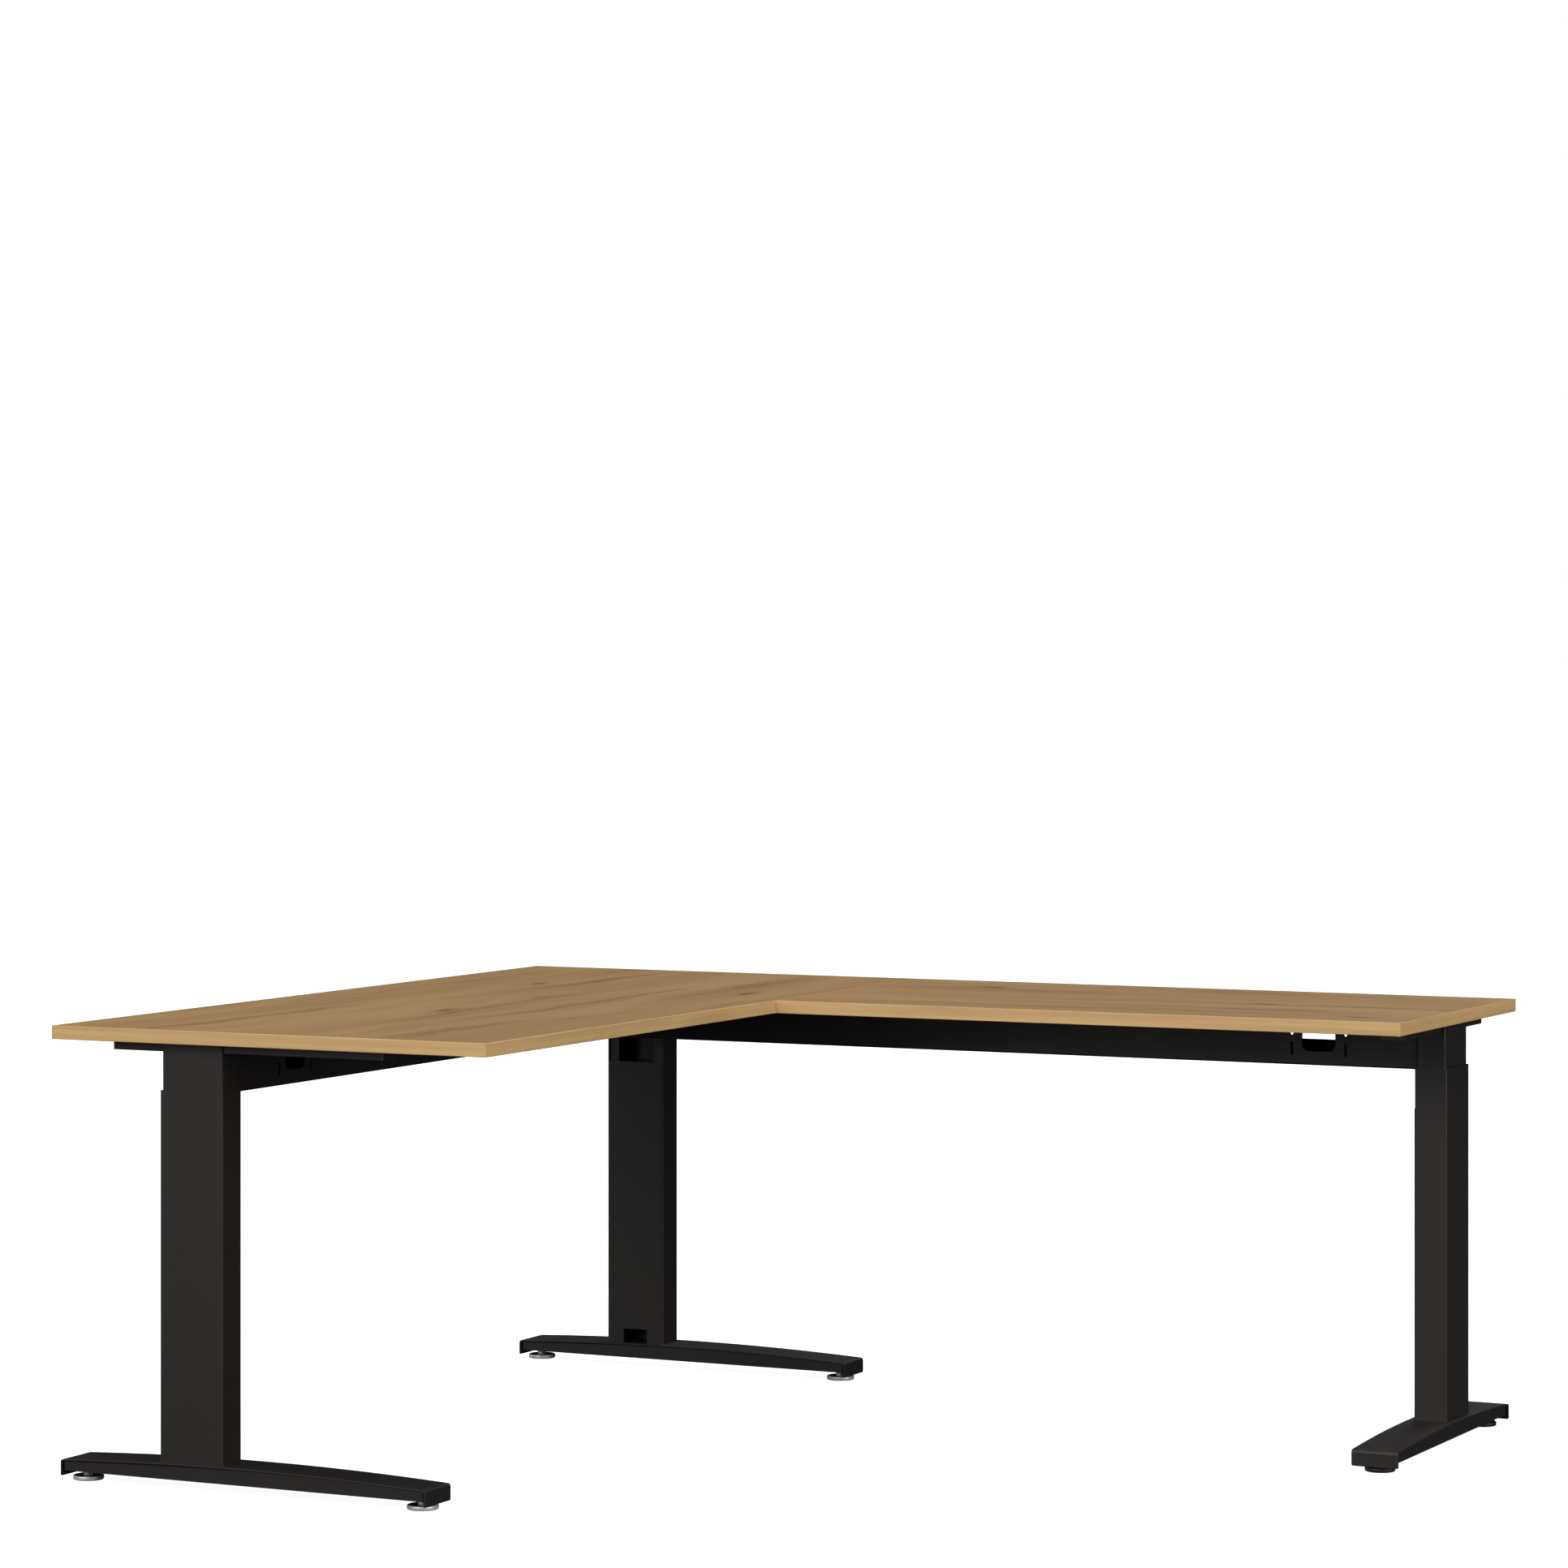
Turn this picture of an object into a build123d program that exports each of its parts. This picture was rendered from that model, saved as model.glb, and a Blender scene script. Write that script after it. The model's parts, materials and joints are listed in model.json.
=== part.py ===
from build123d import *
import os

# Height-adjustable corner desk, in millimetres.
#
# Row frame: +Z up, origin on the floor under the middle of the desk's box.
# The main desk runs along Y at the low-X side; the return desk runs along X at the high-Y side.
# Each leg is drawn in a frame of its own and then placed: "across" is the distance from the
# desk's back edge, "out" points away from the traverse, and the leg's plane is out = 0.

# ---- driving dimensions ------------------------------------------------------------------
HEIGHT = 732.0
BOARD_THICKNESS = 22.0
MAIN_LENGTH = 1600.0
MAIN_DEPTH = 800.0
RETURN_LENGTH = 1125.0
RETURN_DEPTH = 600.0
BAND_THICKNESS = 2.0
BAND_ARRIS = 0.8

LEG_INSET = 48.5
COLUMN_ACROSS = 251.5
SHEET = 2.0

OUTER_WIDE = 117.0
OUTER_NARROW = 58.0
OUTER_RADIUS = 4.0
OUTER_TOP = 634.0
OUTER_CUT_BOTTOM = 566.0
OUTLET_WIDE = 49.0
OUTLET_TOP = 70.0

INNER_WIDE = 112.0
INNER_NARROW = 51.0
INNER_RADIUS = 3.5
INNER_MOUTH = 72.0
INNER_BOTTOM = 120.0

GLIDE_WIDTH = 84.0
GLIDE_LENGTH = 76.0
GLIDE_BELOW_RIM = 4.0
GLIDE_LIP_MARGIN = 2.0
LOCK_RADIUS = 4.0
LOCK_HEAD_RADIUS = 7.0
LOCK_HEAD_LENGTH = 5.0
LOCK_KEY = 2.9
LOCK_KEY_DEPTH = 3.0
LOCK_HEIGHTS = (320.0, 500.0)

BAR_WIDTH = 40.0
BAR_HEIGHT = 15.0
BAR_START = 100.0
MAIN_BAR_LENGTH = 500.0
RETURN_BAR_LENGTH = 400.0
BAR_CAP = 3.0
BAR_CAP_PLUG = 10.0
BAR_SCREW_MARGINS = (30.0, 70.0)

WOOD_SCREW_RADIUS = 2.5
WOOD_SCREW_HEAD = 4.5
WOOD_SCREW_HEAD_HEIGHT = 3.0
WOOD_SCREW_DEPTH = 14.0
WOOD_SCREW_TIP = 3.0
WOOD_SCREW_POINT = 0.6

PLATE_LENGTH = 160.0
PLATE_WIDTH = 40.0
PLATE_CORNER = 5.0
PLATE_FROM_REAR = (110.0, 500.0)
PLATE_SCREW_OFFSETS = (-60.0, -25.0, 25.0, 60.0)

FOOT_START = 11.0
MAIN_FOOT_END = 687.0
RETURN_FOOT_END = 587.0
FOOT_WIDTH = 80.0
FOOT_CROWN = 45.2
FOOT_SHOULDER = 36.0
FOOT_FLAP_BOTTOM = 9.5
FOOT_BEND = 5.0
COVER_THICKNESS = 2.5
FLAP_CORNER = 3.0
RAIL_WIDTH = 73.0
RAIL_BOTTOM = 17.5
RAIL_SETBACK = 6.0
RAIL_BEND = 3.0
COVER_ARRIS = 0.8

PAD_INSET = 27.0
PAD_RADIUS = 25.0
PAD_HEIGHT = 7.5
PAD_RIM = 6.0
PAD_RIM_ROUND = 3.0
PAD_HEEL_ROUND = 1.5
PAD_DISH_DEPTH = 1.5
STUD_RADIUS = 5.0
STUD_BOTTOM = 2.5
STUD_TOP = 29.0
STUD_CHAMFER = 1.0
COLLAR_RADIUS = 8.5
BOSS_RADIUS = 9.0
BOSS_BOTTOM = 12.0

TRAVERSE_FRONT = 304.0
TRAVERSE_BACK = 200.0
TRAVERSE_BOTTOM = 631.0
TRAVERSE_BACK_TOP = 667.0
TRAVERSE_RADIUS = 3.0
TRAVERSE_CLEARANCE = 1.0
END_PLATE_CLEARANCE = 6.0
NOTCH_FROM_END = 144.5
NOTCH_WIDTH = 59.0
NOTCH_BOTTOM = 654.5
NOTCH_RADIUS = 11.0
SLOT_OFFSET = 48.0
SLOT_WIDTH = 5.0
SLOT_LENGTH = 23.0
SLOT_LOW = 659.0
SLOT_HIGH = 693.0
END_PLATE = 3.0
WINDOW = (219.0, 284.0)
WINDOW_ABOVE_FLOOR = 6.0
WINDOW_BELOW_BOARD = 18.0
WINDOW_CORNER = 5.0
END_BOLT_RADIUS = 3.0
END_BOLT_HEIGHT = 688.0
END_BOLT_SPREAD = 42.0
HEXAGON_RADIUS = 5.7
BOLT_HEAD = 4.0
BOLT_NUT = 5.0
BOLT_BEYOND_NUT = 1.0

SOFT_EDGE = 1.5
HEAD_EDGE = 1.2
RUNNING_GAP = 0.05
TOUCH = 0.01
GLIDE_GAP = 0.3
CUT = 1.0

# ---- places worked out from them ---------------------------------------------------------
LEFT = -(MAIN_DEPTH + RETURN_LENGTH) / 2
RIGHT = -LEFT
FRONT = -MAIN_LENGTH / 2
REAR = MAIN_LENGTH / 2
UNDERSIDE = HEIGHT - BOARD_THICKNESS
BAR_BOTTOM = UNDERSIDE - BAR_HEIGHT
SEAM_X = LEFT + MAIN_DEPTH
COLUMN_REAR = COLUMN_ACROSS - OUTER_WIDE / 2
INNER_FACE = LEG_INSET + INNER_NARROW / 2
MAIN_TRAVERSE_START = FRONT + INNER_FACE
MAIN_TRAVERSE_END = REAR - INNER_FACE
RETURN_TRAVERSE_START = LEFT + TRAVERSE_FRONT
RETURN_TRAVERSE_END = RIGHT - INNER_FACE
BOLT_GRIP = END_PLATE + SHEET
LEGS = ("main_leg", "corner_leg", "return_leg")


def place(shape, leg):
    """Carry a piece from its leg's own frame (across, out, up) to the desk's frame."""
    if leg == "main_leg":
        return Pos(LEFT, FRONT + LEG_INSET, 0) * mirror(shape, about=Plane.XZ)
    if leg == "corner_leg":
        return Pos(LEFT, REAR - LEG_INSET, 0) * shape
    return Pos(RIGHT - LEG_INSET, REAR, 0) * Rot(0, 0, -90) * shape


def box_between(low, high):
    """A box given by its lowest and highest corners."""
    size = [b - a for a, b in zip(low, high)]
    middle = [(a + b) / 2 for a, b in zip(low, high)]
    return Pos(*middle) * Box(*size)


def upright_cylinder(radius, low, high, across=0.0, out=0.0):
    return Pos(across, out, (low + high) / 2) * Cylinder(radius, high - low)


def rounded_tube(wide, narrow, radius, low, high):
    """A hollow box section standing on end, centred on the column's middle."""
    outline = RectangleRounded(wide, narrow, radius)
    bore = RectangleRounded(wide - 2 * SHEET, narrow - 2 * SHEET, radius - SHEET)
    return Pos(COLUMN_ACROSS, 0, low) * extrude(outline - bore, high - low)


# ---- foot --------------------------------------------------------------------------------
def foot_end(leg):
    return RETURN_FOOT_END if leg == "return_leg" else MAIN_FOOT_END


def pad_places(leg):
    return {"rear": FOOT_START + PAD_INSET, "front": foot_end(leg) - PAD_INSET}


def under_arch(leg, drop, setback, low, width):
    """The space under the foot's arched top line lowered by drop, from low upwards."""
    start, end = FOOT_START + setback, foot_end(leg) - setback
    shoulder, crown = FOOT_SHOULDER - drop, FOOT_CROWN - drop
    arch = ThreePointArc((start, shoulder), ((start + end) / 2, crown), (end, shoulder))
    ends = Polyline((start, shoulder), (start, low), (end, low), (end, shoulder))
    side = make_face(Curve() + [arch, ends])
    return Pos(0, width / 2, 0) * extrude(Plane.XZ * side, width)


def on_long_rim(edge):
    """Whether an edge lies in one of the cover's side faces, above its lower end."""
    middle = edge.center()
    return abs(abs(middle.Y) - FOOT_WIDTH / 2) < TOUCH and middle.Z > FOOT_FLAP_BOTTOM + FLAP_CORNER


def foot_cover(leg):
    """One bent plate: arched on top, with a flap turned down at each end."""
    outside = under_arch(leg, 0, 0, FOOT_FLAP_BOTTOM, FOOT_WIDTH)
    shoulders = outside.edges().filter_by(Axis.Y).group_by(Axis.Z)[-1]
    outside = fillet(shoulders, FOOT_BEND)
    tips = outside.edges().filter_by(Axis.X).group_by(Axis.Z)[0]
    outside = fillet(tips, FLAP_CORNER)
    outside = fillet(outside.edges().filter_by(on_long_rim), COVER_ARRIS)
    thick = COVER_THICKNESS
    inside = under_arch(leg, thick, thick, FOOT_FLAP_BOTTOM - CUT, FOOT_WIDTH + 2 * CUT)
    shoulders = inside.edges().filter_by(Axis.Y).group_by(Axis.Z)[-1]
    inside = fillet(shoulders, FOOT_BEND - thick)
    return outside - inside


def rail_hollow(leg):
    """The space inside the foot rail, open underneath."""
    drop = COVER_THICKNESS + SHEET
    return under_arch(leg, drop, RAIL_SETBACK + SHEET, RAIL_BOTTOM - CUT, RAIL_WIDTH - 2 * SHEET)


def foot_rail(leg):
    """A channel under the cover, open underneath, with its ends closed."""
    block = under_arch(leg, COVER_THICKNESS, RAIL_SETBACK, RAIL_BOTTOM, RAIL_WIDTH)
    bends = block.edges().filter_by(GeomType.CIRCLE).group_by(Axis.Z)[-1]
    return fillet(bends, RAIL_BEND) - rail_hollow(leg)


def foot_inserts(leg):
    """Threaded bosses welded under the rail's web, one above each levelling pad."""
    bosses = []
    for across in pad_places(leg).values():
        boss = upright_cylinder(BOSS_RADIUS, BOSS_BOTTOM, FOOT_CROWN, across)
        bore = upright_cylinder(STUD_RADIUS, BOSS_BOTTOM - CUT, STUD_TOP + CUT, across)
        reach = under_arch(leg, COVER_THICKNESS + SHEET, RAIL_SETBACK + SHEET, 0, RAIL_WIDTH)
        bosses.append((boss & reach) - bore)
    return Compound(children=bosses)


def pad_disc(across):
    """A turned steel disc with a rolled rim and a shallow dish in its top."""
    disc = upright_cylinder(PAD_RADIUS, 0, PAD_HEIGHT, across)
    disc = fillet(disc.edges().group_by(Axis.Z)[-1], PAD_RIM_ROUND)
    disc = fillet(disc.edges().group_by(Axis.Z)[0], PAD_HEEL_ROUND)
    dish_floor = PAD_HEIGHT - PAD_DISH_DEPTH
    dish = upright_cylinder(PAD_RADIUS - PAD_RIM, dish_floor, PAD_HEIGHT + CUT, across)
    seat = upright_cylinder(STUD_RADIUS - RUNNING_GAP, STUD_BOTTOM, PAD_HEIGHT, across)
    return disc - dish - seat


def pad_stud(across):
    """A threaded stud riveted into the disc, with a hexagon collar under the boss."""
    stud = upright_cylinder(STUD_RADIUS - RUNNING_GAP, STUD_BOTTOM, STUD_TOP, across)
    stud = chamfer(stud.edges().group_by(Axis.Z)[-1], STUD_CHAMFER)
    collar_low = PAD_HEIGHT - PAD_DISH_DEPTH
    hexagon = Pos(across, 0, collar_low) * RegularPolygon(COLLAR_RADIUS, 6)
    return stud + extrude(hexagon, BOSS_BOTTOM - collar_low)


# ---- columns -----------------------------------------------------------------------------
def outer_column(leg):
    """The lower tube: open in front of the traverse, with a cable outlet at its foot."""
    tube = rounded_tube(OUTER_WIDE, OUTER_NARROW, OUTER_RADIUS, FOOT_SHOULDER, OUTER_TOP)
    face = -OUTER_NARROW / 2
    half_wide = OUTER_WIDE / 2 + CUT
    window = box_between(
        (COLUMN_ACROSS - half_wide, face - CUT, OUTER_CUT_BOTTOM),
        (COLUMN_ACROSS + half_wide, face + SHEET, OUTER_TOP + CUT),
    )
    outlet = box_between(
        (COLUMN_ACROSS - OUTLET_WIDE / 2, face - CUT, FOOT_SHOULDER - CUT),
        (COLUMN_ACROSS + OUTLET_WIDE / 2, face + SHEET + CUT, OUTLET_TOP),
    )
    outlet = fillet(outlet.edges().filter_by(Axis.Y).group_by(Axis.Z)[-1], SOFT_EDGE)
    tube = tube - window - outlet - under_arch(leg, 0, 0, 0, FOOT_WIDTH)
    for height in LOCK_HEIGHTS:
        tube = tube - lock_axis_cylinder(LOCK_RADIUS, -CUT, SHEET + CUT, height)
    return tube


def inner_column():
    """The upper channel: its mouth faces the traverse, and the top bar lies in its notches."""
    tube = rounded_tube(INNER_WIDE, INNER_NARROW, INNER_RADIUS, INNER_BOTTOM, UNDERSIDE)
    half_mouth = INNER_MOUTH / 2
    mouth = box_between(
        (COLUMN_ACROSS - half_mouth, -INNER_NARROW, INNER_BOTTOM - CUT),
        (COLUMN_ACROSS + half_mouth, -INNER_NARROW / 2 + SHEET + CUT, UNDERSIDE + CUT),
    )
    bar_seat = box_between(
        (COLUMN_ACROSS - INNER_WIDE, -BAR_WIDTH / 2, BAR_BOTTOM),
        (COLUMN_ACROSS + INNER_WIDE, BAR_WIDTH / 2, UNDERSIDE + CUT),
    )
    channel = tube - mouth - bar_seat
    for across in end_bolt_places():
        channel = channel - out_axis_cylinder(END_BOLT_RADIUS, -INNER_NARROW, 0, across)
    return channel


def lock_axis_cylinder(radius, start, end, height):
    """A cylinder along the across axis, measured inwards from the outer column's rear side."""
    middle = COLUMN_REAR + (start + end) / 2
    return Pos(middle, 0, height) * Rot(0, 90, 0) * Cylinder(radius, end - start)


def lock_screws():
    """Clamping screws through the outer column's rear side, bearing on the inner column."""
    reach = (OUTER_WIDE - INNER_WIDE) / 2 - GLIDE_GAP
    screws = []
    for height in LOCK_HEIGHTS:
        head = lock_axis_cylinder(LOCK_HEAD_RADIUS, -LOCK_HEAD_LENGTH, 0, height)
        rear_rim = head.edges().filter_by(GeomType.CIRCLE).group_by(Axis.X)[0]
        head = fillet(rear_rim, HEAD_EDGE)
        shank = lock_axis_cylinder(LOCK_RADIUS - RUNNING_GAP, 0, reach, height)
        socket = extrude(RegularPolygon(LOCK_KEY, 6), LOCK_KEY_DEPTH)
        key = Pos(COLUMN_REAR - LOCK_HEAD_LENGTH, 0, height) * Rot(0, 90, 0) * socket
        screws.append(head + shank - key)
    return Compound(children=screws)


def glides():
    """Plastic liners fixed inside the outer column, which guide the inner one."""
    wall = OUTER_NARROW / 2 - SHEET
    thickness = (OUTER_NARROW - INNER_NARROW) / 2 - SHEET - GLIDE_GAP
    lip_low = INNER_MOUTH / 2 + GLIDE_LIP_MARGIN
    lip_high = INNER_WIDE / 2 - INNER_RADIUS
    top, cut_top = OUTER_TOP - GLIDE_BELOW_RIM, OUTER_CUT_BOTTOM - GLIDE_BELOW_RIM
    liners = [
        box_between(
            (COLUMN_ACROSS - GLIDE_WIDTH / 2, wall - thickness, top - GLIDE_LENGTH),
            (COLUMN_ACROSS + GLIDE_WIDTH / 2, wall, top),
        )
    ]
    for low, high in ((lip_low, lip_high), (-lip_high, -lip_low)):
        liners.append(
            box_between(
                (COLUMN_ACROSS + low, -wall, cut_top - GLIDE_LENGTH),
                (COLUMN_ACROSS + high, -wall + thickness, cut_top),
            )
        )
    return Compound(children=liners)


# ---- top bars ----------------------------------------------------------------------------
def bar_length(leg):
    return RETURN_BAR_LENGTH if leg == "return_leg" else MAIN_BAR_LENGTH


def bar_screw_places(leg):
    """Two screws near each end of the bar."""
    start, end = BAR_START, BAR_START + bar_length(leg)
    return [start + m for m in BAR_SCREW_MARGINS] + [end - m for m in BAR_SCREW_MARGINS]


def top_bar(leg):
    """A flat hollow bar that carries the board, drilled for its screws from below."""
    start = BAR_START + BAR_CAP
    end = BAR_START + bar_length(leg) - BAR_CAP
    half = BAR_WIDTH / 2
    bar = box_between((start, -half, BAR_BOTTOM), (end, half, UNDERSIDE))
    bar = fillet(bar.edges().filter_by(Axis.X).group_by(Axis.Z)[0], SOFT_EDGE)
    bore = box_between(
        (start - CUT, -half + SHEET, BAR_BOTTOM + SHEET),
        (end + CUT, half - SHEET, UNDERSIDE - SHEET),
    )
    bar = bar - bore
    inside = BAR_BOTTOM + SHEET + CUT
    for across in bar_screw_places(leg):
        bar = bar - upright_cylinder(WOOD_SCREW_HEAD + CUT, BAR_BOTTOM - CUT, inside, across)
        bar = bar - upright_cylinder(WOOD_SCREW_RADIUS, inside, UNDERSIDE + CUT, across)
    return bar


def bar_caps(leg):
    """Plastic plugs that close both ends of the bar."""
    caps = []
    half = BAR_WIDTH / 2
    ends = ((BAR_START, 1), (BAR_START + bar_length(leg), -1))
    for tip, inwards in ends:
        face = sorted((tip, tip + inwards * BAR_CAP))
        cap = box_between((face[0], -half, BAR_BOTTOM), (face[1], half, UNDERSIDE))
        cap = fillet(cap.edges().filter_by(Axis.X).group_by(Axis.Z)[0], SOFT_EDGE)
        core = sorted((tip + inwards * BAR_CAP, tip + inwards * (BAR_CAP + BAR_CAP_PLUG)))
        inner_half = half - SHEET
        stem = box_between(
            (core[0], -inner_half, BAR_BOTTOM + SHEET),
            (core[1], inner_half, UNDERSIDE - SHEET),
        )
        caps.append(cap + stem)
    return Compound(children=caps)


def wood_screw(head_top):
    """A pan-head screw standing upright, its head just under head_top."""
    head = upright_cylinder(WOOD_SCREW_HEAD, head_top - WOOD_SCREW_HEAD_HEIGHT, head_top)
    head = fillet(head.edges().group_by(Axis.Z)[0], HEAD_EDGE)
    shank_top = UNDERSIDE + WOOD_SCREW_DEPTH - WOOD_SCREW_TIP
    shank = upright_cylinder(WOOD_SCREW_RADIUS, head_top, shank_top)
    tip = Cone(WOOD_SCREW_RADIUS, WOOD_SCREW_POINT, WOOD_SCREW_TIP)
    tip = Pos(0, 0, shank_top + WOOD_SCREW_TIP / 2) * tip
    return head + shank + tip


def board_screws(leg):
    screw = wood_screw(UNDERSIDE - SHEET)
    return Compound(children=[Pos(a, 0, 0) * screw for a in bar_screw_places(leg)])


# ---- boards ------------------------------------------------------------------------------
def board_area(board):
    """The board's low and high corners in plan, its edge bands included."""
    if board == "main":
        return (LEFT, FRONT), (SEAM_X, REAR)
    return (SEAM_X, REAR - RETURN_DEPTH), (RIGHT, REAR)


def screw_holes_under_boards():
    """Pilot holes for every wood screw, as solids in the desk's frame."""
    top = UNDERSIDE + WOOD_SCREW_DEPTH
    holes = []
    for leg in LEGS:
        for across in bar_screw_places(leg):
            hole = upright_cylinder(WOOD_SCREW_RADIUS, UNDERSIDE - CUT, top, across)
            holes.append(place(hole, leg))
    for x, y in plate_screw_places():
        holes.append(upright_cylinder(WOOD_SCREW_RADIUS, UNDERSIDE - CUT, top, x, y))
    return holes


def board_core(board):
    (x0, y0), (x1, y1) = board_area(board)
    band = BAND_THICKNESS
    core = box_between((x0 + band, y0 + band, UNDERSIDE), (x1 - band, y1 - band, HEIGHT))
    return core - screw_holes_under_boards()


def edge_bands(board):
    """Four strips of edging round a board, each softened along its long outside edges."""
    (x0, y0), (x1, y1) = board_area(board)
    band = BAND_THICKNESS
    strips = []
    for y, side in ((y0, -1), (y1, 1)):
        low, high = sorted((y, y - side * band))
        strip = box_between((x0 + band, low, UNDERSIDE), (x1 - band, high, HEIGHT))
        outside = strip.edges().filter_by(Axis.X).group_by(Axis.Y)[0 if side < 0 else -1]
        strips.append(chamfer(outside, BAND_ARRIS))
    for x, side in ((x0, -1), (x1, 1)):
        low, high = sorted((x, x - side * band))
        strip = box_between((low, y0, UNDERSIDE), (high, y1, HEIGHT))
        outside = strip.edges().filter_by(Axis.Y).group_by(Axis.X)[0 if side < 0 else -1]
        strips.append(chamfer(outside, BAND_ARRIS))
    return Compound(children=strips)


def plate_screw_places():
    return [(SEAM_X + dx, REAR - dy) for dy in PLATE_FROM_REAR for dx in PLATE_SCREW_OFFSETS]


def seam_plates():
    """Flat steel plates that tie the two boards together from below."""
    plates = []
    for from_rear in PLATE_FROM_REAR:
        half_length, half_width = PLATE_LENGTH / 2, PLATE_WIDTH / 2
        y = REAR - from_rear
        plate = box_between(
            (SEAM_X - half_length, y - half_width, UNDERSIDE - END_PLATE),
            (SEAM_X + half_length, y + half_width, UNDERSIDE),
        )
        plate = fillet(plate.edges().filter_by(Axis.Z), PLATE_CORNER)
        for dx in PLATE_SCREW_OFFSETS:
            low, high = UNDERSIDE - END_PLATE - CUT, UNDERSIDE + CUT
            plate = plate - upright_cylinder(WOOD_SCREW_RADIUS, low, high, SEAM_X + dx, y)
        plates.append(plate)
    return Compound(children=plates)


def seam_screws():
    screw = wood_screw(UNDERSIDE - END_PLATE)
    return Compound(children=[Pos(x, y, 0) * screw for x, y in plate_screw_places()])


# ---- traverses ---------------------------------------------------------------------------
def end_bolt_places():
    return [COLUMN_ACROSS - END_BOLT_SPREAD, COLUMN_ACROSS + END_BOLT_SPREAD]


def out_axis_cylinder(radius, start, end, across, height=END_BOLT_HEIGHT):
    """A cylinder along the out axis of a leg or traverse frame."""
    return Pos(across, (start + end) / 2, height) * Rot(90, 0, 0) * Cylinder(radius, end - start)


def folded_channel(length):
    """The trough's sheet along +Y: a high front wall, a floor and a low rear wall."""
    outside = box_between(
        (TRAVERSE_BACK, 0, TRAVERSE_BOTTOM),
        (TRAVERSE_FRONT, length, UNDERSIDE - TRAVERSE_CLEARANCE),
    )
    outside = fillet(outside.edges().filter_by(Axis.Y).group_by(Axis.Z)[0], TRAVERSE_RADIUS)
    inside = box_between(
        (TRAVERSE_BACK + SHEET, -CUT, TRAVERSE_BOTTOM + SHEET),
        (TRAVERSE_FRONT - SHEET, length + CUT, UNDERSIDE),
    )
    folds = inside.edges().filter_by(Axis.Y).group_by(Axis.Z)[0]
    inside = fillet(folds, TRAVERSE_RADIUS - SHEET)
    above_rear_wall = box_between(
        (TRAVERSE_BACK - CUT, -CUT, TRAVERSE_BACK_TOP),
        (TRAVERSE_BACK + SHEET + CUT, length + CUT, UNDERSIDE),
    )
    return outside - inside - above_rear_wall


def traverse(length, notch_at):
    """A folded trough lying along +Y from out = 0, with a cable notch and hook slots."""
    trough = folded_channel(length)
    wall_low, wall_high = TRAVERSE_FRONT - SHEET - CUT, TRAVERSE_FRONT + CUT
    notch = box_between(
        (wall_low, notch_at - NOTCH_WIDTH / 2, NOTCH_BOTTOM),
        (wall_high, notch_at + NOTCH_WIDTH / 2, UNDERSIDE + NOTCH_RADIUS),
    )
    notch = fillet(notch.edges().filter_by(Axis.X).group_by(Axis.Z)[0], NOTCH_RADIUS)
    trough = trough - notch
    slot = Plane.YZ * (Rot(0, 0, 90) * SlotOverall(SLOT_LENGTH, SLOT_WIDTH))
    slot = extrude(slot, wall_high - wall_low)
    for side in (-SLOT_OFFSET, SLOT_OFFSET):
        for height in (SLOT_LOW, SLOT_HIGH):
            trough = trough - Pos(wall_low, notch_at + side, height) * slot
    return trough


def end_plate(windowed):
    """A plate across the trough's end, with a window for cables where it meets a column."""
    floor = TRAVERSE_BOTTOM + SHEET
    low, high = TRAVERSE_BACK + SHEET, TRAVERSE_FRONT - SHEET
    plate = box_between((low, 0, floor), (high, END_PLATE, UNDERSIDE - END_PLATE_CLEARANCE))
    plate = fillet(plate.edges().filter_by(Axis.Y).group_by(Axis.Z)[0], TRAVERSE_RADIUS - SHEET)
    if windowed:
        window = box_between(
            (WINDOW[0], -CUT, floor + WINDOW_ABOVE_FLOOR),
            (WINDOW[1], END_PLATE + CUT, UNDERSIDE - WINDOW_BELOW_BOARD),
        )
        plate = plate - fillet(window.edges().filter_by(Axis.Y), WINDOW_CORNER)
    for across in end_bolt_places():
        plate = plate - out_axis_cylinder(END_BOLT_RADIUS, -CUT, END_PLATE + CUT, across)
    return plate


def end_bolts(grip):
    """Two hexagon bolts with nuts through an end plate and what it is fastened to."""
    bolts = []
    for across in end_bolt_places():
        tip = grip + BOLT_NUT + BOLT_BEYOND_NUT
        shank = out_axis_cylinder(END_BOLT_RADIUS, 0, tip, across)
        for start, thickness in ((-BOLT_HEAD, BOLT_HEAD), (grip, BOLT_NUT)):
            hexagon = RegularPolygon(HEXAGON_RADIUS, 6)
            block = extrude(Plane.XZ * hexagon, -thickness)
            shank = shank + Pos(across, start, END_BOLT_HEIGHT) * block
        bolts.append(shank)
    return bolts


def on_main(shape, start, facing):
    """Place something drawn along +Y on the main traverse, facing +1 or -1 along Y."""
    turned = shape if facing > 0 else mirror(shape, about=Plane.XZ)
    return Pos(LEFT, start, 0) * turned


def on_return(shape, start, facing):
    """Place something drawn along +Y on the return traverse, facing +1 or -1 along X."""
    turned = shape if facing > 0 else mirror(shape, about=Plane.XZ)
    return Pos(start, REAR, 0) * Rot(0, 0, -90) * turned


def main_traverse():
    length = MAIN_TRAVERSE_END - MAIN_TRAVERSE_START
    trough = on_main(traverse(length, NOTCH_FROM_END + NOTCH_WIDTH / 2), MAIN_TRAVERSE_START, 1)
    for across in end_bolt_places():
        hole = out_axis_cylinder(END_BOLT_RADIUS, -BOLT_GRIP, BOLT_GRIP, across)
        trough = trough - on_return(hole, RETURN_TRAVERSE_START, 1)
    return trough


def return_traverse():
    length = RETURN_TRAVERSE_END - RETURN_TRAVERSE_START
    return on_return(traverse(length, NOTCH_FROM_END + NOTCH_WIDTH / 2), RETURN_TRAVERSE_END, -1)


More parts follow.
